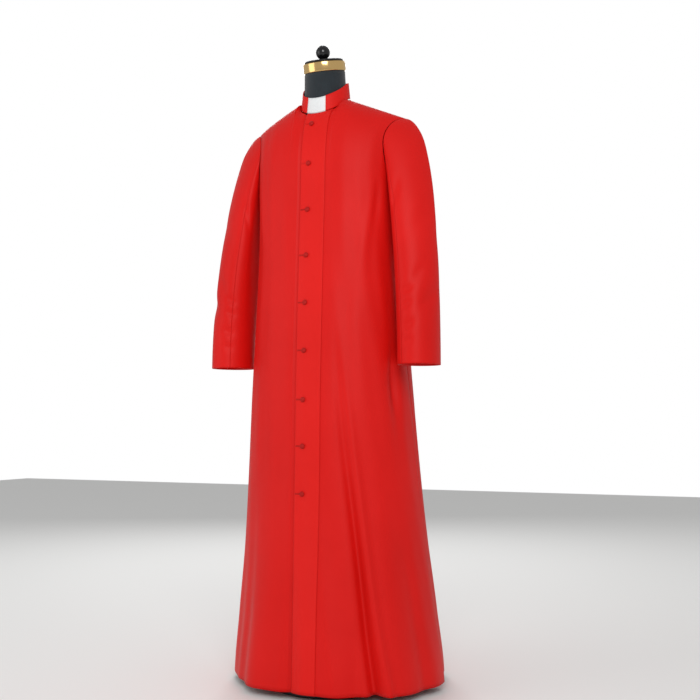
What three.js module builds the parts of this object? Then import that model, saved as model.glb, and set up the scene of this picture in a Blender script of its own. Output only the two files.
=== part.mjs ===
// A cassock worn on a limbless dress form with a stand.
// Millimetres, +Z up. The front faces -Y and the wearer's left is at +X. The origin is on the floor, at the
// centre of the stand's base. Every cloth piece is a thin wall on one shared surface, worked out from tables.
import * as THREE from 'three';

// ---------------------------------------------------------------- driving dimensions
const CLOTH = 2.0; // thickness of a panel
const TRIM = 1.2; // thickness of the button band and the collar tab
const SEAM = 0.3; // gap between two pieces at a seam
const HEM_Z = 18;
const UNDERARM_Z = 1225;
const OVERLAP = 21; // how far the left front reaches past the centre front
const BAND_EDGE = 43; // where the button band's inner edge lies, from the centre front
const UNDERLAP = 18; // how far the right front goes on beneath the left one
const SHOULDER_GAP = 0.5; // from the shoulder line to each panel's edge
const UNDER_GAP = 1.4; // between the two where they lap

// Body below the arms, a row for each level: half width, depth in front of and behind the section's own
// centre line, where that line lies along Y, and the section's squareness (2 is an ellipse).
const LEVELS = [
  { z: 18, width: 266, front: 226, back: 246, centre: 50, square: 2.0 },
  { z: 160, width: 252, front: 211, back: 232, centre: 42, square: 2.0 },
  { z: 330, width: 236, front: 194, back: 214, centre: 34, square: 2.05 },
  { z: 520, width: 220, front: 178, back: 194, centre: 24, square: 2.1 },
  { z: 700, width: 207, front: 164, back: 172, centre: 13, square: 2.2 },
  { z: 860, width: 195, front: 150, back: 152, centre: 5, square: 2.3 },
  { z: 1010, width: 183, front: 137, back: 132, centre: -1, square: 2.4 },
  { z: 1120, width: 179, front: 128, back: 120, centre: -4, square: 2.5 },
  { z: 1225, width: 180, front: 120, back: 108, centre: -6, square: 2.6 },
];
// Body from the underarm level (0) up to the shoulder seam (1): half width, and the part of it that the
// panels reach before the armhole cuts them off.
const CHEST = [
  { rise: 0.0, width: 180, reach: 1.0 },
  { rise: 0.15, width: 181, reach: 0.95 },
  { rise: 0.4, width: 185, reach: 0.91 },
  { rise: 0.7, width: 195, reach: 0.94 },
  { rise: 1.0, width: 206, reach: 1.0 },
];
// Folds of the skirt: angle from the centre front at the fold's top and at the hem, the height it starts at,
// how far it stands out (+) or in (-) at the hem, and its half width in degrees.
const FOLDS = [
  { top: 960, from: 17, to: 41, out: -17, spread: 5.5 },
  { top: 760, from: 34, to: 52, out: 14, spread: 9 },
  { top: 420, from: -5, to: -6, out: -7, spread: 6 },
  { top: 520, from: 8, to: 16, out: 6, spread: 9 },
  { top: 560, from: -22, to: -27, out: 9, spread: 12 },
  { top: 640, from: -50, to: -58, out: -8, spread: 10 },
  { top: 820, from: 128, to: 132, out: 13, spread: 10 },
  { top: 760, from: 152, to: 152, out: -12, spread: 9 },
  { top: 760, from: -152, to: -150, out: -14, spread: 9 },
  { top: 820, from: -128, to: -130, out: 12, spread: 10 },
  { top: 900, from: 172, to: 174, out: 12, spread: 8 },
];
// The side pleats: the front panel's edge, the pleat's floor and the back panel's edge, in degrees.
const PLEAT = { top: 880, front: 96, floor: 101, back: 108, fade: 124, depth: 40, backShare: 0.4 };

const NECK = { y: -28, halfWidth: 61.8, front: 64, back: 58, frontZ: 1402, sideZ: 1447, backZ: 1466 };
const SHOULDER = { x: 206, y: 4, z: 1390 };
const COLLAR = { height: 40, lean: 4, notch: 26 };
const SLEEVE = {
  cuff: { x: 253, y: -46, z: 780 },
  halfWidth: 50,
  halfDepth: 63,
  cap: { x: 250, y: 0, z: -95 }, // direction in which the outer line leaves the shoulder
  pit: { x: 40, y: -20, z: -330 }, // and the inner line the underarm
  fall: 640, // how strongly the sleeve hangs straight down at the cuff
};
const BUTTON = { radius: 6, height: 5 };
const BUTTON_Z = [1372, 1271, 1157, 1045, 930, 815, 698, 588, 476];

const RED = { color: 0xd0221d, roughness: 0.55, metalness: 0 };
const WHITE = { color: 0xe8ebeb, roughness: 0.5, metalness: 0 };
const JERSEY = { color: 0x14202a, roughness: 0.9, metalness: 0 };
const BLACK = { color: 0x0b0b0c, roughness: 0.25, metalness: 0 };
const BRASS = { color: 0xd9a441, roughness: 0.2, metalness: 1 };
const STEEL = { color: 0x2a2a2c, roughness: 0.4, metalness: 0.8 };

// ---------------------------------------------------------------- small helpers
const cassock = new THREE.Group();
const degrees = THREE.MathUtils.degToRad;
const mix = THREE.MathUtils.lerp;
const ramp = (low, high, at) => THREE.MathUtils.smoothstep(at, Math.min(low, high), Math.max(low, high));
const signedPower = (value, power) => Math.sign(value) * Math.abs(value) ** power;

function addMesh(name, geometry, look, parent = cassock) {
  const mesh = new THREE.Mesh(geometry, new THREE.MeshStandardMaterial(look));
  mesh.name = name;
  parent.add(mesh);
  return mesh;
}

// A table's column at some place along it, on a smooth curve through the rows.
function column(rows, along, name, at) {
  const last = rows.length - 1;
  let row = 0;
  while (row < last - 1 && at > rows[row + 1][along]) row += 1;
  const value = (index) => rows[THREE.MathUtils.clamp(index, 0, last)][name];
  const place = (index) => rows[index][along];
  const share = THREE.MathUtils.clamp((at - place(row)) / (place(row + 1) - place(row)), 0, 1);
  const before = (value(row + 1) - value(row - 1)) / 2;
  const after = (value(row + 2) - value(row)) / 2;
  const rise = value(row + 1) - value(row);
  const curve = share * share * (3 - 2 * share);
  return (
    value(row) + rise * curve + before * share * (1 - share) ** 2 - after * share * share * (1 - share)
  );
}

// A closed wall between a surface and the same surface moved in. The surface's two directions turn outwards.
function wall(surface, across, up, thickness, lift = 0) {
  const positions = [];
  const index = [];
  const step = 0.002;
  const outward = (a, b) => {
    const alongA = surface(a + step, b).sub(surface(a - step, b));
    const alongB = surface(a, b + step).sub(surface(a, b - step));
    return alongA.cross(alongB).normalize();
  };
  for (const depth of [lift, lift - thickness]) {
    for (let j = 0; j <= up; j += 1) {
      for (let i = 0; i <= across; i += 1) {
        const a = i / across;
        const b = j / up;
        positions.push(...surface(a, b).addScaledVector(outward(a, b), depth));
      }
    }
  }
  const layer = (across + 1) * (up + 1);
  const at = (i, j, side) => side * layer + j * (across + 1) + i;
  const quad = (a, b, c, d) => index.push(a, b, c, a, c, d);
  for (let j = 0; j < up; j += 1) {
    for (let i = 0; i < across; i += 1) {
      quad(at(i, j, 0), at(i + 1, j, 0), at(i + 1, j + 1, 0), at(i, j + 1, 0));
      quad(at(i, j, 1), at(i, j + 1, 1), at(i + 1, j + 1, 1), at(i + 1, j, 1));
    }
    quad(at(0, j, 0), at(0, j + 1, 0), at(0, j + 1, 1), at(0, j, 1));
    quad(at(across, j, 0), at(across, j, 1), at(across, j + 1, 1), at(across, j + 1, 0));
  }
  for (let i = 0; i < across; i += 1) {
    quad(at(i, 0, 0), at(i, 0, 1), at(i + 1, 0, 1), at(i + 1, 0, 0));
    quad(at(i, up, 0), at(i + 1, up, 0), at(i + 1, up, 1), at(i, up, 1));
  }
  const geometry = new THREE.BufferGeometry();
  geometry.setAttribute('position', new THREE.Float32BufferAttribute(positions, 3));
  geometry.setIndex(index);
  return geometry;
}

// ---------------------------------------------------------------- the body's surface
// Height is 0 at the hem, 1 at the underarm and 2 at the neckline and the shoulder seam.
const levelZ = (height) => mix(HEM_Z, UNDERARM_Z, height);
const level = (z, name) => column(LEVELS, 'z', name, z);

function foldOffset(angle, z) {
  let out = 0;
  for (const fold of FOLDS) {
    const fallen = THREE.MathUtils.clamp((fold.top - z) / (fold.top - HEM_Z), 0, 1);
    const centre = mix(fold.from, fold.to, fallen);
    out += fold.out * ramp(0, 1, fallen) * Math.exp(-(((angle - centre) / fold.spread) ** 2));
  }
  return out;
}

// The side pleats cut in behind the front panels' edges and come back out across the back panels.
function pleatOffset(angle, z) {
  const turned = Math.abs(angle);
  const deep = PLEAT.depth * ramp(PLEAT.top, HEM_Z, PLEAT.top + HEM_Z - z);
  const inwards = ramp(PLEAT.front, PLEAT.floor, turned);
  const halfBack = (1 - PLEAT.backShare) * ramp(PLEAT.floor, PLEAT.back, turned);
  const fading = PLEAT.backShare * ramp(PLEAT.back, PLEAT.fade, turned);
  return -deep * (inwards - halfBack - fading);
}

// A point of the level section at an angle from the centre front, positive towards the wearer's left.
function ringPoint(angle, z) {
  const turn = degrees(angle);
  const power = 2 / level(z, 'square');
  const depth = level(z, Math.cos(turn) > 0 ? 'front' : 'back');
  const x = level(z, 'width') * signedPower(Math.sin(turn), power);
  const y = -depth * signedPower(Math.cos(turn), power);
  const out = new THREE.Vector2(x / level(z, 'width') ** 2, y / depth ** 2).normalize();
  const offset = foldOffset(angle, z) + pleatOffset(angle, z);
  return new THREE.Vector3(x + out.x * offset, level(z, 'centre') + y + out.y * offset, z);
}

// Above the underarm each upright line rolls over from the chest or back to the neckline or shoulder seam.
function topPoint(share, isFront) {
  const x = share * SHOULDER.x;
  if (x >= NECK.halfWidth) {
    const along = (x - NECK.halfWidth) / (SHOULDER.x - NECK.halfWidth);
    const apart = isFront ? -SHOULDER_GAP : SHOULDER_GAP;
    const y = mix(NECK.y, SHOULDER.y, along) + apart;
    return new THREE.Vector3(x, y, mix(NECK.sideZ, SHOULDER.z, along));
  }
  const round = Math.sqrt(1 - (x / NECK.halfWidth) ** 2);
  const endZ = isFront ? NECK.frontZ : NECK.backZ;
  const y = NECK.y + (isFront ? -NECK.front : NECK.back) * round;
  return new THREE.Vector3(x, y, mix(endZ, NECK.sideZ, 1 - round));
}

function chestPoint(angle, rise) {
  const turn = degrees(angle);
  const isFront = Math.cos(turn) > 0;
  const share = Math.abs(Math.sin(turn)) ** (2 / level(UNDERARM_Z, 'square'));
  const low = ringPoint(angle, UNDERARM_Z);
  const top = topPoint(share, isFront);
  const neckShare = Math.min(1, (share * SHOULDER.x) / NECK.halfWidth);
  const sweep = degrees(mix(66, 88, ramp(0.4, 1, neckShare)));
  const roll = rise * sweep;
  const power = 0.86;
  const up = Math.sin(roll) ** power / Math.sin(sweep) ** power;
  const flat = Math.cos(sweep) ** power;
  const over = 1 - (Math.cos(roll) ** power - flat) / (1 - flat);
  const x = Math.sign(angle) * share * column(CHEST, 'rise', 'width', rise);
  return new THREE.Vector3(x, mix(low.y, top.y, over), mix(low.z, top.z, up));
}

function bodyPoint(angle, height) {
  if (height <= 1) return ringPoint(angle, levelZ(height));
  return chestPoint(angle, Math.min(height - 1, 1));
}

// The angle at which the surface is a given distance from the middle, in front or behind.
function angleAcross(x, height) {
  const z = levelZ(Math.min(height, 1));
  const width = height <= 1 ? level(z, 'width') : column(CHEST, 'rise', 'width', height - 1);
  const share = Math.min(1, Math.abs(x) / width);
  const turned = THREE.MathUtils.radToDeg(Math.asin(share ** (level(z, 'square') / 2)));
  return Math.sign(x) * turned;
}

// Where a panel ends at the side: at the pleat below, at the armhole above. Both are angles from its centre.
function sideAngle(height, pleatEdge) {
  if (height <= 1) {
    const open = ramp(PLEAT.top, HEM_Z, PLEAT.top + HEM_Z - levelZ(height));
    return mix(90, pleatEdge, open);
  }
  const rise = height - 1;
  const reach = Math.min(1, column(CHEST, 'rise', 'reach', rise));
  return THREE.MathUtils.radToDeg(Math.asin(Math.min(1, reach) ** (level(UNDERARM_Z, 'square') / 2)));
}

// A panel's columns stand closer together along the neckline, where the surface turns fastest.
const NECK_ANGLE = angleAcross(NECK.halfWidth, 2);
function columnAngle(across, start, end) {
  const neckShare = 0.42;
  if (across > neckShare) return mix(NECK_ANGLE, end, (across - neckShare) / (1 - neckShare));
  return mix(start, NECK_ANGLE, Math.sin(((across / neckShare) * Math.PI) / 2));
}

const seamAngle = SEAM / 2 / 3.4; // half a seam's gap as an angle on the body, in degrees
// The rows of a panel: most lie below the underarm, and the rest round the chest and the shoulder.
const panelHeight = (up) => (up < 0.6 ? up / 0.6 : 1 + (up - 0.6) / 0.4);

function frontPoint(across, up) {
  const height = panelHeight(up);
  const end = sideAngle(height, PLEAT.front) - seamAngle;
  return bodyPoint(columnAngle(across, angleAcross(-OVERLAP, height), end), height);
}

// The right front slips beneath the left one, a cloth's thickness further in.
function rightFrontPoint(across, up) {
  const height = panelHeight(up);
  const end = sideAngle(height, PLEAT.front) - seamAngle;
  const angle = columnAngle(1 - across, angleAcross(-UNDERLAP, height), end);
  const point = bodyPoint(-angle, height);
  const beneath = (CLOTH + UNDER_GAP) * ramp(-OVERLAP - 26, -OVERLAP - 11, point.x);
  const lower = new THREE.Vector3(0, 1, height > 1 ? -(height - 1) : 0).normalize();
  return point.addScaledVector(lower, beneath);
}

function backPoint(across, up) {
  const height = panelHeight(up);
  const end = 180 - sideAngle(height, 180 - PLEAT.back) + 4 * seamAngle;
  const middle = 180 - seamAngle;
  return bodyPoint(180 - columnAngle(1 - across, 180 - middle, 180 - end), height);
}

// The pleat ends two thirds of the way up to the underarm, on one of the panels' rows.
const PLEAT_HEIGHT = 2 / 3;
function pleatPoint(across, up) {
  const z = levelZ(PLEAT_HEIGHT * up);
  const open = ramp(PLEAT.top, HEM_Z, PLEAT.top + HEM_Z - z);
  const start = mix(90, PLEAT.front, open) + seamAngle;
  const end = mix(90, PLEAT.back, open) - seamAngle;
  return ringPoint(mix(start, end, across), z);
}

const mirrored = (surface) => (across, up) => surface(1 - across, up).multiply(new THREE.Vector3(-1, 1, 1));

// ---------------------------------------------------------------- the panels
const ROWS = 20;
const sides = [
  ['left', (surface) => surface],
  ['right', mirrored],
];
addMesh('left_front', wall(frontPoint, 13, ROWS, CLOTH), RED);
addMesh('right_front', wall(rightFrontPoint, 13, ROWS, CLOTH), RED);
for (const [side, placed] of sides) {
  addMesh(`${side}_back`, wall(placed(backPoint), 9, ROWS, CLOTH), RED);
  addMesh(`${side}_side_pleat`, wall(placed(pleatPoint), 4, 8, CLOTH), RED);
}

// The button band is made from the left front's points, moved out.
function bandPoint(across, up) {
  const height = panelHeight(up);
  const angle = mix(angleAcross(-OVERLAP, height), angleAcross(BAND_EDGE, height), across);
  return bodyPoint(angle, height);
}
const BAND_LIFT = 2 * SEAM + TRIM;
addMesh('button_band', wall(bandPoint, 5, ROWS, TRIM, BAND_LIFT), RED);

// ---------------------------------------------------------------- covered buttons
function heightAt(z) {
  if (z <= UNDERARM_Z) return (z - HEM_Z) / (UNDERARM_Z - HEM_Z);
  let low = 1;
  let high = 2;
  for (let halving = 0; halving < 24; halving += 1) {
    const middle = (low + high) / 2;
    if (bodyPoint(0, middle).z < z) low = middle;
    else high = middle;
  }
  return low;
}

function buttonDome() {
  const profile = [new THREE.Vector2(0, 0), new THREE.Vector2(BUTTON.radius * 0.85, 0)];
  for (let turn = 0; turn <= 3; turn += 1) {
    const lift = (turn / 3) * (Math.PI / 2);
    const radius = turn === 3 ? 0 : BUTTON.radius * Math.cos(lift);
    profile.push(new THREE.Vector2(radius, 1 + (BUTTON.height - 1) * Math.sin(lift)));
  }
  return new THREE.LatheGeometry(profile, 10);
}

BUTTON_Z.forEach((z, place) => {
  const height = heightAt(z);
  const point = bodyPoint(0, height);
  const upwards = bodyPoint(0, height + 0.01).sub(bodyPoint(0, height - 0.01));
  const normal = new THREE.Vector3(1, 0, 0).cross(upwards).normalize();
  const button = addMesh(`button_${place + 1}`, buttonDome(), RED);
  button.position.copy(point.addScaledVector(normal, BAND_LIFT + 2 * SEAM));
  button.quaternion.setFromUnitVectors(new THREE.Vector3(0, 1, 0), normal);
});

// ---------------------------------------------------------------- collar and tab
function collarPoint(turned, up) {
  const turn = degrees(turned);
  const isFront = Math.cos(turn) > 0;
  const round = Math.abs(Math.cos(turn));
  const inner = 1 - (COLLAR.lean / NECK.halfWidth) * up;
  const depth = isFront ? NECK.front : NECK.back;
  const z = mix(isFront ? NECK.frontZ : NECK.backZ, NECK.sideZ, 1 - round);
  return new THREE.Vector3(
    NECK.halfWidth * inner * Math.sin(turn),
    NECK.y - depth * inner * Math.cos(turn),
    z + 2 * SEAM + BAND_LIFT + up * COLLAR.height,
  );
}
const NOTCH_ANGLE = THREE.MathUtils.radToDeg(Math.asin(COLLAR.notch / NECK.halfWidth));
const TAB_REACH = 9; // degrees that the tab goes on behind each end of the collar
for (const [side, placed] of sides) {
  const half = placed((across, up) => collarPoint(mix(NOTCH_ANGLE, 179.8, across), up));
  addMesh(`${side}_collar`, wall(half, 12, 1, CLOTH), RED);
}
const tabPoint = (across, up) => collarPoint(mix(-1, 1, across) * (NOTCH_ANGLE + TAB_REACH), up);
addMesh('collar_tab', wall(tabPoint, 6, 1, TRIM, -CLOTH - 2 * SEAM), WHITE);

// ---------------------------------------------------------------- two-piece sleeves
// Round a sleeve, 0 is its outer line, 90 its front and 180 the inner line that starts at the underarm.
function sleevePoint(round, along) {
  const turn = degrees(round);
  const rise = 1 - Math.abs(THREE.MathUtils.euclideanModulo(round + 180, 360) - 180) / 180;
  const edge = sideAngle(1 + rise, 0);
  const start = bodyPoint(Math.sin(turn) >= 0 ? edge : 180 - edge, 1 + rise);
  start.x += 5 * SEAM;
  const inner = (1 - Math.cos(turn)) / 2;
  const leave = new THREE.Vector3().copy(SLEEVE.cap).lerp(new THREE.Vector3().copy(SLEEVE.pit), inner);
  leave.y -= 40 * Math.sin(turn);
  const { cuff, halfWidth, halfDepth, fall } = SLEEVE;
  const end = new THREE.Vector3(cuff.x + halfWidth * Math.cos(turn), cuff.y - halfDepth * Math.sin(turn), cuff.z);
  const t = along;
  return start
    .multiplyScalar(2 * t ** 3 - 3 * t ** 2 + 1)
    .addScaledVector(leave, t * (1 - t) ** 2)
    .addScaledVector(end, 3 * t ** 2 - 2 * t ** 3)
    .addScaledVector(new THREE.Vector3(0, 0, -fall), t ** 3 - t ** 2);
}
const SLEEVE_SEAM = 118;
const sleeveGap = 0.2;
for (const [side, placed] of sides) {
  const upper = (across, up) => sleevePoint(mix(-SLEEVE_SEAM, SLEEVE_SEAM, across), 1 - up);
  const under = (across, up) =>
    sleevePoint(mix(SLEEVE_SEAM + sleeveGap, 360 - SLEEVE_SEAM - sleeveGap, across), 1 - up);
  const facing = (surface) => placed((across, up) => surface(1 - across, up));
  addMesh(`${side}_upper_sleeve`, wall(facing(upper), 10, 11, CLOTH), RED);
  addMesh(`${side}_under_sleeve`, wall(facing(under), 6, 11, CLOTH), RED);
}

// ---------------------------------------------------------------- the dress form and its stand
// The torso's level sections, smooth and clear of the cloth, with the neck growing out of the shoulders.
const TORSO = [
  { z: 830, width: 150, depth: 108, centre: 0 },
  { z: 900, width: 158, depth: 112, centre: 0 },
  { z: 1000, width: 150, depth: 108, centre: -4 },
  { z: 1110, width: 148, depth: 100, centre: -8 },
  { z: 1225, width: 158, depth: 94, centre: -10 },
  { z: 1310, width: 156, depth: 80, centre: -12 },
  { z: 1352, width: 140, depth: 64, centre: -18 },
  { z: 1380, width: 108, depth: 54, centre: -24 },
  { z: 1402, width: 72, depth: 50, centre: -28 },
  { z: 1425, width: 54, depth: 51, centre: -29 },
];
const NECK_TOP = { y: -35, z: 1522, radius: 51, tilt: 14 };
const FORM_SIDES = 20;

// A closed solid through rings of points, each given by its centre, half sizes and forward tilt in degrees.
function ringSolid(rings) {
  const positions = [];
  const index = [];
  for (const { width, depth, centre, z, tilt = 0 } of rings) {
    for (let i = 0; i < FORM_SIDES; i += 1) {
      const turn = (i / FORM_SIDES) * 2 * Math.PI;
      const reach = depth * Math.sin(turn);
      const lean = degrees(tilt);
      positions.push(width * Math.cos(turn), centre + reach * Math.cos(lean), z + reach * Math.sin(lean));
    }
  }
  const lowest = positions.length / 3;
  positions.push(0, rings[0].centre, rings[0].z);
  positions.push(0, rings.at(-1).centre, rings.at(-1).z);
  for (let i = 0; i < FORM_SIDES; i += 1) {
    const next = (i + 1) % FORM_SIDES;
    for (let ring = 0; ring < rings.length - 1; ring += 1) {
      const a = ring * FORM_SIDES;
      index.push(a + i, a + next, a + FORM_SIDES + next, a + i, a + FORM_SIDES + next, a + FORM_SIDES + i);
    }
    const top = (rings.length - 1) * FORM_SIDES;
    index.push(lowest, next, i, lowest + 1, top + i, top + next);
  }
  const geometry = new THREE.BufferGeometry();
  geometry.setAttribute('position', new THREE.Float32BufferAttribute(positions, 3));
  geometry.setIndex(index);
  return geometry;
}

const neckRings = [0.4, 0.75, 1].map((share) => ({
  width: mix(54, NECK_TOP.radius, share),
  depth: NECK_TOP.radius,
  centre: mix(-29, NECK_TOP.y, share),
  z: mix(1425, NECK_TOP.z, share),
  tilt: NECK_TOP.tilt * share,
}));
addMesh('torso_form', ringSolid([...TORSO, ...neckRings]), JERSEY);

const BAND = { height: 23, radius: 53.5 };
const CAP = { height: 6, radius: 50 };
const BALL = { radius: 18, stalk: 5 };
const neckCap = new THREE.Group();
neckCap.position.set(0, NECK_TOP.y, NECK_TOP.z);
neckCap.rotation.x = Math.PI / 2 + degrees(NECK_TOP.tilt);
cassock.add(neckCap);
function stacked(name, geometry, look, at) {
  const mesh = addMesh(name, geometry, look, neckCap);
  mesh.position.y = at;
}
stacked(
  'neck_band',
  new THREE.CylinderGeometry(BAND.radius, BAND.radius, BAND.height, 28),
  BRASS,
  SEAM + BAND.height / 2,
);
const capAt = SEAM * 2 + BAND.height;
stacked('neck_cap', new THREE.CylinderGeometry(CAP.radius - 4, CAP.radius, CAP.height, 28), BLACK, capAt + CAP.height / 2);
const finial = [new THREE.Vector2(0, 0), new THREE.Vector2(7, 0), new THREE.Vector2(6, BALL.stalk)];
for (let turn = 1; turn <= 8; turn += 1) {
  const lift = -1.1 + (turn / 8) * (Math.PI / 2 + 1.1);
  const radius = turn === 8 ? 0 : BALL.radius * Math.cos(lift);
  finial.push(new THREE.Vector2(radius, BALL.stalk + BALL.radius * (0.8 + Math.sin(lift))));
}
stacked('neck_finial', new THREE.LatheGeometry(finial, 16), BLACK, capAt + CAP.height + SEAM);

const BASE = { radius: 138, height: 10, poleRadius: 14 };
const upright = (name, radius, low, high) => {
  const mesh = addMesh(name, new THREE.CylinderGeometry(radius, radius, high - low, 28), STEEL);
  mesh.rotation.x = Math.PI / 2;
  mesh.position.z = (low + high) / 2;
};
upright('stand_base', BASE.radius, 0, BASE.height);
upright('stand_pole', BASE.poleRadius, BASE.height + SEAM, TORSO[0].z - SEAM);

export default cassock;
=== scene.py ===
"""A red cassock on a black limbless dress form: cloth shells on the CAD panels' surface, with their folds."""
import math

import bpy
import numpy as np
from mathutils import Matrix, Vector


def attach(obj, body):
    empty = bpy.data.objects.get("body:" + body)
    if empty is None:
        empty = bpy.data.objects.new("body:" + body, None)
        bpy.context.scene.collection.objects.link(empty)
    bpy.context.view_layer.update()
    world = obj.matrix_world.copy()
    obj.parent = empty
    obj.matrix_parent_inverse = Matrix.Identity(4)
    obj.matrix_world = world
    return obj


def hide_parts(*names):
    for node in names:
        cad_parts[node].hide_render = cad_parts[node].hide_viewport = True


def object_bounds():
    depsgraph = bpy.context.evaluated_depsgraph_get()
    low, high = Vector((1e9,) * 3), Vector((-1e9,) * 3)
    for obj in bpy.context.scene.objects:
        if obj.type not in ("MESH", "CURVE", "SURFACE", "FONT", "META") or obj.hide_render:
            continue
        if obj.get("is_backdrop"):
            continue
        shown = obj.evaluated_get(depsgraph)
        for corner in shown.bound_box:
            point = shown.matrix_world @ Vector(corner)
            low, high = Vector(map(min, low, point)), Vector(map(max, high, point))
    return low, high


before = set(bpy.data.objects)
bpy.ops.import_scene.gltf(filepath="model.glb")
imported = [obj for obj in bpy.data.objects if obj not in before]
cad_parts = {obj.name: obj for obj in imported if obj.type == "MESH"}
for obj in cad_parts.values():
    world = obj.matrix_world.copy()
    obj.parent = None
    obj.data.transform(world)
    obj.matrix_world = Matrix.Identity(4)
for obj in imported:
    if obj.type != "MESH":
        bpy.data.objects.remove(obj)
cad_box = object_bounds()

# ---------------------------------------------------------------- sizes, in metres
CLOTH = 0.0016
TRIM = 0.0010
HEM_Z = 0.018
UNDERARM_Z = 1.225
OVERLAP, BAND_EDGE, UNDERLAP = 0.021, 0.043, 0.018
# level, half width, depth in front, depth behind, centre along Y, squareness
LEVELS = np.array([
    (0.018, 0.272, 0.226, 0.246, 0.050, 2.00),
    (0.160, 0.256, 0.211, 0.232, 0.042, 2.00),
    (0.330, 0.236, 0.194, 0.214, 0.034, 2.05),
    (0.520, 0.220, 0.178, 0.194, 0.024, 2.10),
    (0.700, 0.207, 0.164, 0.172, 0.013, 2.20),
    (0.860, 0.195, 0.150, 0.152, 0.005, 2.30),
    (1.010, 0.183, 0.137, 0.132, -0.001, 2.40),
    (1.120, 0.179, 0.128, 0.120, -0.004, 2.50),
    (1.225, 0.180, 0.120, 0.108, -0.006, 2.60),
])
WIDTH, FRONT, BACK, CENTRE, SQUARE = 1, 2, 3, 4, 5
# rise from the underarm to the shoulder, half width, share reached before the armhole
CHEST = np.array([
    (0.00, 0.180, 1.00), (0.15, 0.181, 0.95), (0.40, 0.185, 0.91), (0.70, 0.195, 0.94), (1.00, 0.206, 1.00),
])
# top, angle at the top and at the hem, how far out (+) or in (-), half width in degrees
FOLDS = [
    (0.960, 17, 41, -0.023, 3.0), (0.940, 22, 46.5, 0.013, 3.2), (0.760, 36, 56, 0.010, 9),
    (0.420, -5, -6, -0.009, 4), (0.520, 8, 17, 0.009, 7), (0.560, -22, -27, 0.012, 10),
    (0.300, 30, 31, -0.004, 4), (0.620, -38, -42, -0.006, 6), (0.540, 66, 72, -0.007, 6),
    (0.640, -50, -58, -0.008, 10), (0.820, 128, 132, 0.013, 10), (0.760, 152, 152, -0.012, 9),
    (0.760, -152, -150, -0.014, 9), (0.820, -128, -130, 0.012, 10), (0.900, 172, 174, 0.012, 8),
]
# soft creases of the upper body: angle, height, how deep, half width in degrees, half height, lean per metre
CREASES = [
    (48, 1.10, 0.0035, 6, 0.075, 60), (58, 1.16, -0.0030, 5, 0.060, 50), (70, 0.73, -0.014, 5, 0.075, 0),
    (-46, 1.13, 0.0025, 7, 0.060, -40), (-72, 0.80, -0.008, 6, 0.080, 0), (30, 0.93, -0.0025, 6, 0.060, 30),
    (-20, 0.98, -0.0015, 9, 0.070, 20), (150, 1.10, -0.0030, 8, 0.090, 40),
    (-148, 1.06, -0.0035, 8, 0.100, -40),
    (178, 1.18, -0.0020, 9, 0.060, 0),
]
PLEAT_TOP, PLEAT_FRONT, PLEAT_FLOOR, PLEAT_BACK, PLEAT_FADE = 0.880, 96, 101, 108, 124
PLEAT_DEPTH, PLEAT_BACK_SHARE = 0.048, 0.3
NECK_Y, NECK_HALF, NECK_FRONT, NECK_BACK = -0.028, 0.0618, 0.064, 0.058
NECK_FRONT_Z, NECK_SIDE_Z, NECK_BACK_Z = 1.402, 1.447, 1.466
SHOULDER_X, SHOULDER_Y, SHOULDER_Z = 0.206, 0.004, 1.390
SHOULDER_GAP = 0.0004
NECK_SWEEP, SHOULDER_SWEEP, ROLL_POWER = 66, 88, 0.86
CAD_CLOTH, LAP_GAP = 0.002, 0.0014
BAND_FACE = TRIM + 0.0005
BUTTON_Z = (1.372, 1.271, 1.157, 1.045, 0.930, 0.815, 0.698, 0.588, 0.476)


def smooth(low, high, at):
    share = np.clip((at - low) / (high - low), 0, 1)
    return share * share * (3 - 2 * share)


def column(rows, place, at):
    """A table's column on a smooth curve through its rows."""
    xs, ys = rows[:, 0], rows[:, place]
    row = np.clip(np.searchsorted(xs, at) - 1, 0, len(xs) - 2)
    share = np.clip((at - xs[row]) / (xs[row + 1] - xs[row]), 0, 1)
    value = lambda index: ys[np.clip(index, 0, len(ys) - 1)]
    before = (value(row + 1) - value(row - 1)) / 2
    after = (value(row + 2) - value(row)) / 2
    rise = value(row + 1) - value(row)
    curve = share * share * (3 - 2 * share)
    return value(row) + rise * curve + before * share * (1 - share) ** 2 - after * share * share * (1 - share)


def signed_power(value, power):
    return np.sign(value) * np.abs(value) ** power


def offsets(angle, z):
    """How far the cloth stands out from its level section: folds, creases, puckers and the side pleats."""
    out = np.zeros_like(angle + z)
    for top, start, end, depth, spread in FOLDS:
        fallen = np.clip((top - z) / (top - HEM_Z), 0, 1)
        middle = start + (end - start) * fallen
        wander = 1.1 * np.sin(9 * z + start)
        out += depth * smooth(0, 1, fallen) * np.exp(-(((angle - middle - wander * fallen) / spread) ** 2))
    for middle, height, depth, spread, tall, lean in CREASES:
        leaning = middle + lean * (z - height)
        out += depth * np.exp(-(((angle - leaning) / spread) ** 2) - ((z - height) / tall) ** 2)
    turned = np.abs(angle)
    deep = PLEAT_DEPTH * smooth(0, PLEAT_TOP - HEM_Z, PLEAT_TOP - z)
    shape = (smooth(PLEAT_FRONT, PLEAT_FLOOR, turned)
             - (1 - PLEAT_BACK_SHARE) * smooth(PLEAT_FLOOR, PLEAT_BACK, turned)
             - PLEAT_BACK_SHARE * smooth(PLEAT_BACK, PLEAT_FADE, turned))
    out -= deep * shape
    out += 0.0007 * np.sin(turned * 0.35 + 5 * z) * np.sin(11 * z + angle * 0.06)
    return out


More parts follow.
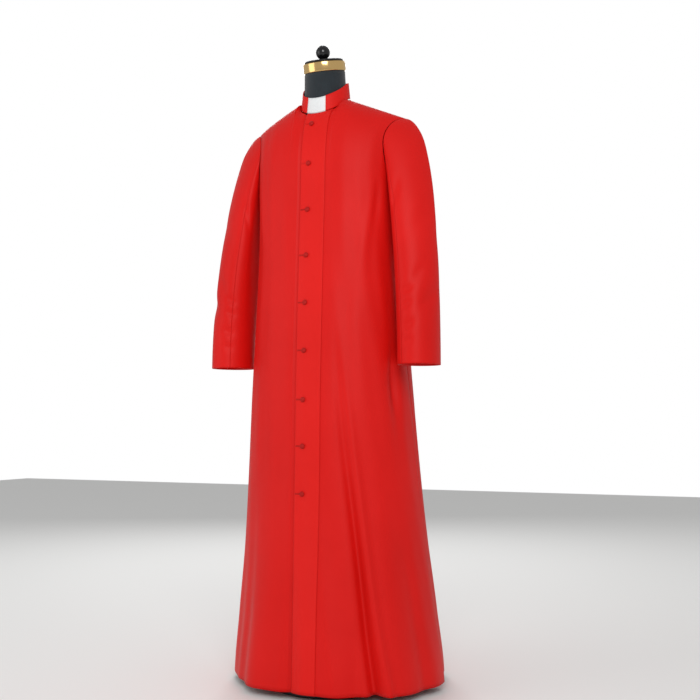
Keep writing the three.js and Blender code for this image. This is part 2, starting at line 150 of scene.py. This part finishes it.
def ring_point(angle, z):
    turn = np.radians(angle)
    power = 2 / column(LEVELS, SQUARE, z)
    depth = np.where(np.cos(turn) > 0, column(LEVELS, FRONT, z), column(LEVELS, BACK, z))
    width = column(LEVELS, WIDTH, z)
    x = width * signed_power(np.sin(turn), power)
    y = -depth * signed_power(np.cos(turn), power)
    nx, ny = x / width ** 2, y / depth ** 2
    size = np.hypot(nx, ny) + 1e-9
    out = offsets(angle, z)
    return np.stack([x + nx / size * out, column(LEVELS, CENTRE, z) + y + ny / size * out, z + 0 * x], -1)


def chest_point(angle, rise):
    turn = np.radians(angle)
    front = np.cos(turn) > 0
    share = np.abs(np.sin(turn)) ** (2 / LEVELS[-1, SQUARE])
    low = ring_point(angle, UNDERARM_Z + 0 * rise)
    across = share * SHOULDER_X
    round_ = np.sqrt(np.clip(1 - (across / NECK_HALF) ** 2, 0, 1))
    along = np.clip((across - NECK_HALF) / (SHOULDER_X - NECK_HALF), 0, 1)
    neck = across < NECK_HALF
    neck_y = NECK_Y + np.where(front, -NECK_FRONT, NECK_BACK) * round_
    end_z = np.where(front, NECK_FRONT_Z, NECK_BACK_Z)
    apart = np.where(front, -SHOULDER_GAP, SHOULDER_GAP)
    top_y = np.where(neck, neck_y, NECK_Y + (SHOULDER_Y - NECK_Y) * along + apart)
    top_z = np.where(neck, end_z + (NECK_SIDE_Z - end_z) * (1 - round_),
                     NECK_SIDE_Z + (SHOULDER_Z - NECK_SIDE_Z) * along)
    opened = smooth(0.4, 1, np.minimum(1, across / NECK_HALF))
    sweep = np.radians(NECK_SWEEP + (SHOULDER_SWEEP - NECK_SWEEP) * opened)
    roll = np.clip(rise, 0, 1) * sweep
    up = np.sin(roll) ** ROLL_POWER / np.sin(sweep) ** ROLL_POWER
    flat = np.cos(sweep) ** ROLL_POWER
    over = 1 - (np.cos(roll) ** ROLL_POWER - flat) / (1 - flat)
    x = np.sign(angle) * share * column(CHEST, 1, np.clip(rise, 0, 1))
    y = low[..., 1] + (top_y - low[..., 1]) * over
    z = low[..., 2] + (top_z - low[..., 2]) * up
    return np.stack([x, y, z], -1)


def body_point(angle, height):
    angle, height = np.broadcast_arrays(angle, height)
    below = ring_point(angle, HEM_Z + (UNDERARM_Z - HEM_Z) * np.minimum(height, 1))
    above = chest_point(angle, height - 1)
    return np.where((height <= 1)[..., None], below, above)


def angle_across(x, height):
    z = HEM_Z + (UNDERARM_Z - HEM_Z) * np.minimum(height, 1)
    width = np.where(height <= 1, column(LEVELS, WIDTH, z), column(CHEST, 1, np.clip(height - 1, 0, 1)))
    share = np.minimum(1, abs(x) / width)
    return np.sign(x) * np.degrees(np.arcsin(share ** (column(LEVELS, SQUARE, z) / 2)))


def side_angle(height, pleat_edge):
    z = HEM_Z + (UNDERARM_Z - HEM_Z) * np.minimum(height, 1)
    below = 90 + (pleat_edge - 90) * smooth(0, PLEAT_TOP - HEM_Z, PLEAT_TOP - z)
    reach = np.minimum(1, column(CHEST, 2, np.clip(height - 1, 0, 1)))
    return np.where(height <= 1, below, np.degrees(np.arcsin(reach ** (LEVELS[-1, SQUARE] / 2))))


NECK_ANGLE = float(angle_across(NECK_HALF, np.array(2.0)))
SEAM_ANGLE = 0.045
NECK_SHARE = 0.42


def column_angle(across, start, end):
    near = start + (NECK_ANGLE - start) * np.sin(across / NECK_SHARE * math.pi / 2)
    far = NECK_ANGLE + (end - NECK_ANGLE) * (across - NECK_SHARE) / (1 - NECK_SHARE)
    return np.where(across > NECK_SHARE, far, near)


def panel_height(up):
    return np.where(up < 0.6, up / 0.6, 1 + (up - 0.6) / 0.4)


def front_point(across, up):
    height = panel_height(up)
    start = angle_across(-OVERLAP, height)
    return body_point(column_angle(across, start, side_angle(height, PLEAT_FRONT) - SEAM_ANGLE), height)


def right_front_point(across, up):
    height = panel_height(up)
    end = side_angle(height, PLEAT_FRONT) - SEAM_ANGLE
    point = body_point(-column_angle(1 - across, angle_across(-UNDERLAP, height), end), height)
    beneath = (CAD_CLOTH + LAP_GAP) * smooth(-OVERLAP - 0.012, -OVERLAP - 0.003, point[..., 0])
    lean = np.stack([0 * height, 1 + 0 * height, -np.clip(height - 1, 0, 1)], -1)
    return point + beneath[..., None] * lean / np.linalg.norm(lean, axis=-1, keepdims=True)


def back_point(across, up):
    height = panel_height(up)
    end = 180 - side_angle(height, 180 - PLEAT_BACK) + 4 * SEAM_ANGLE
    return body_point(180 - column_angle(1 - across, SEAM_ANGLE, 180 - end), height)


def pleat_point(across, up):
    z = HEM_Z + (UNDERARM_Z - HEM_Z) * up * 2 / 3
    opened = smooth(0, PLEAT_TOP - HEM_Z, PLEAT_TOP - z)
    start = 90 + (PLEAT_FRONT - 90) * opened + SEAM_ANGLE
    end = 90 + (PLEAT_BACK - 90) * opened - SEAM_ANGLE
    return ring_point(start + (end - start) * across, z)


def band_point(across, up):
    height = panel_height(up)
    start, end = angle_across(-OVERLAP, height), angle_across(BAND_EDGE, height)
    return body_point(start + (end - start) * across, height)


# ---------------------------------------------------------------- collar and sleeves
def collar_point(turned, up):
    turn = np.radians(turned)
    front, round_ = np.cos(turn) > 0, np.abs(np.cos(turn))
    inner = 1 - 0.004 / NECK_HALF * up
    depth, end_z = np.where(front, NECK_FRONT, NECK_BACK), np.where(front, NECK_FRONT_Z, NECK_BACK_Z)
    z = end_z + (NECK_SIDE_Z - end_z) * (1 - round_) + 0.0024 + up * 0.040
    return np.stack([NECK_HALF * inner * np.sin(turn), NECK_Y - depth * inner * np.cos(turn), z], -1)


NOTCH = math.degrees(math.asin(0.026 / NECK_HALF))
CUFF = np.array([0.253, -0.046, 0.780])
CUFF_HALF_WIDTH, CUFF_HALF_DEPTH, FALL = 0.050, 0.063, 0.640
CAP, PIT = np.array([0.250, 0, -0.095]), np.array([0.040, -0.020, -0.330])
# dents of a sleeve: round it, along it, how deep, half width in degrees, half length, lean in degrees
SLEEVE_DENTS = [
    (30, 0.78, -0.0050, 26, 0.035, 420), (62, 0.70, -0.0035, 18, 0.030, 300),
    (95, 0.74, -0.0045, 16, 0.014, 300),
    (98, 0.79, -0.0040, 15, 0.013, 260), (94, 0.86, -0.0045, 16, 0.016, 320),
    (97, 0.92, -0.0030, 14, 0.014, 200),
    (40, 0.52, -0.0025, 34, 0.040, 260), (-40, 0.60, -0.0035, 30, 0.050, -240),
    (-90, 0.66, -0.0040, 24, 0.040, 0),
    (20, 0.20, 0.0020, 30, 0.060, 0), (110, 0.35, -0.0035, 20, 0.050, 120),
]


def sleeve_point(round_, along, turned=0.0):
    turn = np.radians(round_)
    rise = 1 - np.abs((round_ + 180) % 360 - 180) / 180
    edge = side_angle(1 + rise, 0)
    edge = np.where(rise <= 0, 90.0, edge)
    start = chest_point(np.where(np.sin(turn) >= 0, edge, 180 - edge), rise) + np.array([0.0015, 0, 0])
    inner = ((1 - np.cos(turn)) / 2)[..., None]
    leave = CAP * (1 - inner) + PIT * inner + np.stack([0 * turn, -0.040 * np.sin(turn), 0 * turn], -1)
    end = np.stack([CUFF_HALF_WIDTH * np.cos(turn), -CUFF_HALF_DEPTH * np.sin(turn), 0 * turn], -1) + CUFF
    t = np.asarray(along)[..., None]
    point = (start * (2 * t ** 3 - 3 * t ** 2 + 1) + leave * t * (1 - t) ** 2
             + end * (3 * t ** 2 - 2 * t ** 3) + np.array([0, 0, -FALL]) * (t ** 3 - t ** 2))
    out = np.zeros_like(turn + along)
    for middle, place, depth, spread, length, lean in SLEEVE_DENTS:
        away = (round_ - middle - turned - lean * (along - place) + 180) % 360 - 180
        out += depth * np.exp(-((away / spread) ** 2) - ((along - place) / length) ** 2)
    outward = np.stack([np.cos(turn), -np.sin(turn), 0 * turn], -1)
    return point + outward * out[..., None]


# ---------------------------------------------------------------- meshes
def mirrored(surface):
    return lambda across, up: surface(1 - across, up) * np.array([-1, 1, 1])


def new_piece(name, points, faces, material, smooth_count):
    """A mesh object that rides with the cassock; its first smooth_count faces are shaded smooth."""
    mesh = bpy.data.meshes.new(name)
    mesh.from_pydata(points.tolist(), [], faces)
    flags = np.zeros(len(mesh.polygons), bool)
    flags[:smooth_count] = True
    mesh.polygons.foreach_set("use_smooth", flags)
    mesh.materials.append(material)
    piece = bpy.data.objects.new(name, mesh)
    bpy.context.scene.collection.objects.link(piece)
    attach(piece, "root")
    return piece


def shell(name, surface, across, up, thickness, material, lift=0.0):
    """A closed thin shell on a surface, and the flat size of the cloth in it: width, length and area."""
    a, b = np.meshgrid(np.linspace(0, 1, across + 1), np.linspace(0, 1, up + 1))
    step = 0.0015
    sideways, upward = surface(a + step, b) - surface(a - step, b), surface(a, b + step) - surface(a, b - step)
    normal = np.cross(sideways, upward)
    normal /= np.linalg.norm(normal, axis=-1, keepdims=True) + 1e-12
    outer = surface(a, b) + normal * lift
    inner = outer - normal * thickness
    points = np.concatenate([outer.reshape(-1, 3), inner.reshape(-1, 3)])
    layer = (across + 1) * (up + 1)
    i, j = np.meshgrid(np.arange(across), np.arange(up))
    corner = (j * (across + 1) + i).ravel()
    faces = [np.stack([corner, corner + 1, corner + across + 2, corner + across + 1], 1)]
    faces.append(np.stack([corner, corner + across + 1, corner + across + 2, corner + 1], 1) + layer)
    left = np.arange(up) * (across + 1)
    faces.append(np.stack([left, left + across + 1, left + across + 1 + layer, left + layer], 1))
    right = left + across
    faces.append(np.stack([right, right + layer, right + across + 1 + layer, right + across + 1], 1))
    low = np.arange(across)
    faces.append(np.stack([low, low + layer, low + 1 + layer, low + 1], 1))
    top = low + up * (across + 1)
    faces.append(np.stack([top, top + 1, top + 1 + layer, top + layer], 1))
    piece = new_piece(name, points, np.concatenate(faces).tolist(), material, 2 * len(corner))
    wide = np.linalg.norm(np.diff(outer, axis=1), axis=-1).sum(1).max()
    long = np.linalg.norm(np.diff(outer, axis=0), axis=-1).sum(0).max()
    du, dv = np.diff(outer, axis=1)[:-1], np.diff(outer, axis=0)[:, :-1]
    area = np.linalg.norm(np.cross(du, dv), axis=-1).sum()
    return piece, (float(wide), float(long)), float(min(area, wide * long))


def cloth(name, node, surface, across, up, material, thickness=CLOTH, lift=0.0):
    piece, flat, area = shell(name, surface, across, up, thickness, material, lift)
    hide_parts(node)
    return piece


def lathe(name, profile, sides, material, place=(0, 0, 0), tilt=0.0):
    """A closed turned piece: radius and height pairs that start and end on the axis."""
    turn = np.linspace(0, 2 * math.pi, sides, endpoint=False)
    rings = [np.stack([r * np.cos(turn), r * np.sin(turn), z + 0 * turn], -1) for r, z in profile[1:-1]]
    points = np.concatenate([*rings, [[0, 0, profile[0][1]], [0, 0, profile[-1][1]]]])
    low, high = len(points) - 2, len(points) - 1
    faces = []
    for i in range(sides):
        after = (i + 1) % sides
        for ring in range(len(rings) - 1):
            a = ring * sides
            faces.append((a + i, a + after, a + sides + after, a + sides + i))
        faces.append((low, after, i))
        a = (len(rings) - 1) * sides
        faces.append((high, a + i, a + after))
    lean = np.array([[1, 0, 0], [0, math.cos(tilt), -math.sin(tilt)], [0, math.sin(tilt), math.cos(tilt)]])
    return new_piece(name, points @ lean.T + np.array(place), faces, material, len(faces))


# ---------------------------------------------------------------- materials
def new_material(name, color, roughness, **sockets):
    """A Principled material; its constant values are set on the shader's own sockets."""
    material = bpy.data.materials.new(name)
    material.use_nodes = True
    shader = material.node_tree.nodes["Principled BSDF"]
    shader.inputs["Base Color"].default_value = (*color, 1)
    shader.inputs["Roughness"].default_value = roughness
    for socket, value in sockets.items():
        shader.inputs[socket.replace("_", " ")].default_value = value
    return material, shader


def node(material, kind, **values):
    made = material.node_tree.nodes.new(kind)
    for name, value in values.items():
        if name in made.inputs:
            made.inputs[name].default_value = value
        else:
            setattr(made, name, value)
    return made


def varied_color(material, shader, low, high, scale):
    """The colour wanders softly between two near tones over the cloth."""
    tree = material.node_tree
    place = node(material, "ShaderNodeTexCoord")
    noise = node(material, "ShaderNodeTexNoise", Scale=scale, Detail=4.0)
    tones = node(material, "ShaderNodeValToRGB")
    tones.color_ramp.elements[0].color = (*low, 1)
    tones.color_ramp.elements[0].position = 0.3
    tones.color_ramp.elements[1].color = (*high, 1)
    tones.color_ramp.elements[1].position = 0.7
    tree.links.new(place.outputs["Object"], noise.inputs["Vector"])
    tree.links.new(noise.outputs["Fac"], tones.inputs["Fac"])
    tree.links.new(tones.outputs["Color"], shader.inputs["Base Color"])


def twill(material, shader, rib, depth, lean):
    """Fine diagonal ribs of a weave, rib wide and as far apart, as bump, with a little unevenness."""
    tree = material.node_tree
    place = node(material, "ShaderNodeTexCoord")
    turn = node(material, "ShaderNodeMapping")
    turn.inputs["Rotation"].default_value = (0.0, lean, 0.6)
    ribs = node(material, "ShaderNodeTexWave", Scale=math.pi / (20 * rib), Distortion=1.2, Detail=2.0)
    slubs = node(material, "ShaderNodeTexNoise", Scale=900.0, Detail=3.0)
    joined = node(material, "ShaderNodeMath", operation="ADD")
    bump = node(material, "ShaderNodeBump", Strength=depth, Distance=0.0003)
    tree.links.new(place.outputs["Object"], turn.inputs["Vector"])
    tree.links.new(turn.outputs["Vector"], ribs.inputs["Vector"])
    tree.links.new(place.outputs["Object"], slubs.inputs["Vector"])
    tree.links.new(ribs.outputs["Fac"], joined.inputs[0])
    tree.links.new(slubs.outputs["Fac"], joined.inputs[1])
    tree.links.new(joined.outputs["Value"], bump.inputs["Height"])
    tree.links.new(bump.outputs["Normal"], shader.inputs["Normal"])


def red_gabardine(name, low, high):
    material, shader = new_material(name, high, 0.5, Sheen_Weight=0.02, Sheen_Roughness=0.4)
    shader.inputs["Specular IOR Level"].default_value = 0.16
    shader.inputs["Sheen Tint"].default_value = (1.0, 0.25, 0.2, 1)
    varied_color(material, shader, low, high, 5.0)
    twill(material, shader, 0.0012, 0.25, 0.7)
    return material


def jersey():
    material, shader = new_material("dark_jersey", (0.008, 0.015, 0.020), 0.85, Sheen_Weight=0.2)
    varied_color(material, shader, (0.006, 0.011, 0.015), (0.010, 0.018, 0.024), 30.0)
    twill(material, shader, 0.0010, 0.4, 0.0)
    return material


def polished(name, color, roughness, metallic):
    material, shader = new_material(name, color, roughness, Metallic=metallic)
    tree = material.node_tree
    place = node(material, "ShaderNodeTexCoord")
    noise = node(material, "ShaderNodeTexNoise", Scale=60.0, Detail=5.0)
    spread = node(material, "ShaderNodeMapRange")
    spread.inputs["To Min"].default_value = roughness * 0.8
    spread.inputs["To Max"].default_value = roughness * 1.3
    tree.links.new(place.outputs["Object"], noise.inputs["Vector"])
    tree.links.new(noise.outputs["Fac"], spread.inputs["Value"])
    tree.links.new(spread.outputs["Result"], shader.inputs["Roughness"])
    return material


def white_tab():
    material, shader = new_material("white_tab", (0.80, 0.82, 0.82), 0.45)
    varied_color(material, shader, (0.77, 0.79, 0.80), (0.82, 0.84, 0.84), 40.0)
    twill(material, shader, 0.0008, 0.15, 0.0)
    return material


panel_red = red_gabardine("red_gabardine", (0.64, 0.006, 0.004), (0.70, 0.008, 0.006))
# A lighter copy of the same red cloth for the collar and the button band: painted highlight, since the cloth
# itself is one red.
highlit_red = red_gabardine("red_painted_highlight", (0.69, 0.009, 0.006), (0.75, 0.011, 0.008))
# A darker copy of the same red cloth for the covered buttons and the buttonholes: painted shade, since the
# buttons are the cloth's own red.
shaded_red = red_gabardine("red_painted_shade", (0.38, 0.008, 0.006), (0.45, 0.010, 0.008))
jersey_black = jersey()
tab_white = white_tab()
brass = polished("polished_brass", (0.83, 0.55, 0.22), 0.14, 1.0)
gloss_black = polished("gloss_black", (0.004, 0.004, 0.005), 0.12, 0.0)
stand_black = polished("stand_black", (0.02, 0.02, 0.022), 0.4, 0.4)

# ---------------------------------------------------------------- the cassock
cloth("left_front_cloth", "left_front", front_point, 140, 190, panel_red)
cloth("right_front_cloth", "right_front", right_front_point, 140, 190, panel_red)
for side, placed in (("left", lambda surface: surface), ("right", mirrored)):
    cloth(f"{side}_back_cloth", f"{side}_back", placed(back_point), 110, 150, panel_red)
    cloth(f"{side}_pleat_cloth", f"{side}_side_pleat", placed(pleat_point), 20, 110, panel_red)
    half = placed(lambda across, up: collar_point(NOTCH + (179.8 - NOTCH) * across, up))
    cloth(f"{side}_collar_cloth", f"{side}_collar", half, 70, 12, highlit_red)
    shift = 0.0 if side == "left" else 14.0
    upper = placed(lambda across, up, s=shift: sleeve_point(118 - 236 * across, 1 - up, s))
    under = placed(lambda across, up, s=shift: sleeve_point(241.8 - 123.6 * across, 1 - up, s))
    cloth(f"{side}_upper_sleeve_cloth", f"{side}_upper_sleeve", upper, 100, 160, panel_red)
    cloth(f"{side}_under_sleeve_cloth", f"{side}_under_sleeve", under, 44, 160, panel_red)
cloth("button_band_cloth", "button_band", band_point, 20, 190, highlit_red, TRIM, BAND_FACE)
cloth("collar_tab_cloth", "collar_tab", lambda across, up: collar_point((2 * across - 1) * (NOTCH + 9), up),
      24, 8, tab_white, TRIM, -0.0022)


# ---------------------------------------------------------------- covered buttons and their buttonholes
def height_at(z):
    heights = np.linspace(0, 2, 4001)
    levels = body_point(np.zeros_like(heights), heights)[:, 2]
    return float(np.interp(z, levels, heights))


def band_strip(z, low, high, tall, lift, thickness, name, material):
    """A short strip across the band at a level, between two distances from the middle."""
    height = height_at(z)
    start, end = float(angle_across(low, np.array(height))), float(angle_across(high, np.array(height)))
    share = tall / (UNDERARM_Z - HEM_Z)
    surface = lambda across, up: body_point(start + (end - start) * across, height + share * (up - 0.5))
    piece, _, _ = shell(name, surface, 16, 2, thickness, material, lift)
    return piece


BUTTON_LIFT = 0.0022
for place, z in enumerate(BUTTON_Z, 1):
    height = height_at(z)
    point = body_point(np.zeros(1), np.array([height]))[0]
    low, high = body_point(np.zeros(2), np.array([height - 0.01, height + 0.01]))
    rise = high - low
    normal = np.cross((1, 0, 0), rise)
    normal /= np.linalg.norm(normal)
    tilt = math.atan2(-normal[1], normal[2])
    dome = [(0, 0), (0.0045, 0), (0.0058, 0.0007), (0.0061, 0.0015)]
    dome += [(0.0061 * math.cos(t), 0.0015 + 0.0034 * math.sin(t)) for t in np.linspace(0.2, 1.45, 8)]
    at = point + normal * BUTTON_LIFT
    button = lathe(f"button_{place}_cover", dome + [(0, 0.0049)], 28, shaded_red, at, tilt)
    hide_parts(f"button_{place}")
    for edge, step in (("upper", 0.0011), ("lower", -0.0011)):
        hole = band_strip(z + step, -0.019, 0.004, 0.0012, BAND_FACE + 0.0005, 0.0004,
                          f"buttonhole_{place}_{edge}", shaded_red)

# ---------------------------------------------------------------- the dress form and its stand
TORSO = [
    (0.830, 0.150, 0.108, 0.000), (0.900, 0.158, 0.112, 0.000), (1.000, 0.150, 0.108, -0.004),
    (1.110, 0.148, 0.100, -0.008), (1.225, 0.158, 0.094, -0.010), (1.310, 0.156, 0.080, -0.012),
    (1.352, 0.140, 0.064, -0.018), (1.380, 0.108, 0.054, -0.024), (1.402, 0.072, 0.050, -0.028),
    (1.425, 0.054, 0.051, -0.029),
]
NECK_TOP_Y, NECK_TOP_Z, NECK_RADIUS, NECK_TILT = -0.035, 1.522, 0.051, math.radians(14)


def form_rings():
    """The torso's rings, then the neck's, which lean forward more and more: z, half sizes, centre, tilt."""
    rows = [(*row, 0.0) for row in TORSO]
    for share in np.linspace(0.1, 1, 10):
        width = 0.054 + (NECK_RADIUS - 0.054) * share
        centre = -0.029 + (NECK_TOP_Y + 0.029) * share
        rows.append((1.425 + (NECK_TOP_Z - 1.425) * share, width, NECK_RADIUS, centre, NECK_TILT * share))
    return rows


def torso(sides=72):
    turn = np.linspace(0, 2 * math.pi, sides, endpoint=False)
    rings = []
    for z, width, depth, centre, tilt in form_rings():
        reach = depth * np.sin(turn)
        y, height = centre + reach * math.cos(tilt), z + reach * math.sin(tilt)
        rings.append(np.stack([width * np.cos(turn), y, height], -1))
    low, high = len(rings) * sides, len(rings) * sides + 1
    points = np.concatenate([*rings, [[0, 0, TORSO[0][0]], [0, NECK_TOP_Y, NECK_TOP_Z]]])
    faces = []
    top = (len(rings) - 1) * sides
    for i in range(sides):
        after = (i + 1) % sides
        for ring in range(len(rings) - 1):
            a = ring * sides
            faces.append((a + i, a + after, a + sides + after, a + sides + i))
        faces.append((low, after, i))
        faces.append((high, top + i, top + after))
    piece = new_piece("torso_jersey", points, faces, jersey_black, len(faces))
    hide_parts("torso_form")


torso()
neck_place = (0, NECK_TOP_Y, NECK_TOP_Z)


def rounded(radius, low, high, edge, sides=5):
    """A disc's profile with rounded edges."""
    turns = np.linspace(0, math.pi / 2, sides)
    under = [(radius - edge + edge * math.sin(t), low + edge - edge * math.cos(t)) for t in turns]
    over = [(radius - edge + edge * math.cos(t), high - edge + edge * math.sin(t)) for t in turns]
    return [(0, low), *under, *over, (0, high)]


def turned(name, node_name, profile, material, slot_name, place=(0, 0, 0), tilt=0.0):
    piece = lathe(name, profile, 96, material, place, tilt)
    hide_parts(node_name)


ring = rounded(0.0535, 0.0003, 0.0233, 0.0016)
turned("brass_band", "neck_band", ring, brass, "brass", neck_place, NECK_TILT)
cap = rounded(0.050, 0.0236, 0.0296, 0.003)
turned("black_cap", "neck_cap", cap, gloss_black, "black_gloss", neck_place, NECK_TILT)
ball = [(0, 0.0299), (0.007, 0.0299), (0.006, 0.0345)]
ball += [(0.018 * math.cos(t), 0.0493 + 0.018 * math.sin(t)) for t in np.linspace(-1.15, 1.5, 24)]
turned("ball_finial", "neck_finial", [*ball, (0, 0.0673)], gloss_black, "black_gloss", neck_place, NECK_TILT)
turned("round_base", "stand_base", rounded(0.138, 0, 0.010, 0.003), stand_black, "stand_metal")
turned("pole", "stand_pole", rounded(0.014, 0.0103, 0.8297, 0.001), stand_black, "stand_metal")

# ---------------------------------------------------------------- floor, light and camera
bpy.ops.mesh.primitive_plane_add(size=14)
floor = bpy.context.object
floor.name = "floor"
floor_material, _ = new_material("pale_floor", (0.86, 0.86, 0.85), 0.8)
floor.data.materials.append(floor_material)
floor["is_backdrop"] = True


def softbox(name, place, size, power):
    light = bpy.data.lights.new(name, "AREA")
    light.size, light.energy = size, power
    lamp = bpy.data.objects.new(name, light)
    lamp.location = place
    lamp.rotation_euler = (Vector((0, 0, 0.9)) - Vector(place)).to_track_quat("-Z", "Y").to_euler()
    bpy.context.scene.collection.objects.link(lamp)


softbox("key", (1.6, -3.2, 2.3), 1.8, 62)
softbox("fill", (-2.6, -2.4, 1.5), 2.2, 20)
softbox("rim", (-1.5, 2.8, 2.6), 1.6, 45)
ROOM_LIGHT = 0.5
world = bpy.data.worlds.new("studio")
world.use_nodes = True
world.node_tree.nodes["Background"].inputs["Color"].default_value = (1, 1, 1, 1)
room = world.node_tree.nodes["Background"]
sight = world.node_tree.nodes.new("ShaderNodeLightPath")
strength = world.node_tree.nodes.new("ShaderNodeMapRange")
strength.inputs["To Min"].default_value = ROOM_LIGHT
strength.inputs["To Max"].default_value = 1.0
world.node_tree.links.new(sight.outputs["Is Camera Ray"], strength.inputs["Value"])
world.node_tree.links.new(strength.outputs["Result"], room.inputs["Strength"])
bpy.context.scene.world = world
bpy.context.scene.view_settings.view_transform = "Standard"

VIEW_AZIMUTH, DISTANCE, EYE, PITCH = math.radians(24), 2.65, 0.65, math.radians(3.77)
SIDE_STEP = 0.049
camera = bpy.data.cameras.new("camera")
camera.lens = 54.5
eye = bpy.data.objects.new("camera", camera)
eye.location = (
    SIDE_STEP * math.cos(VIEW_AZIMUTH) + DISTANCE * math.sin(VIEW_AZIMUTH),
    SIDE_STEP * math.sin(VIEW_AZIMUTH) - DISTANCE * math.cos(VIEW_AZIMUTH),
    EYE,
)
eye.rotation_euler = (math.pi / 2 + PITCH, 0, VIEW_AZIMUTH)
bpy.context.scene.collection.objects.link(eye)
bpy.context.scene.camera = eye

boxes = [[[float(value) for value in corner] for corner in box] for box in (cad_box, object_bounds())]
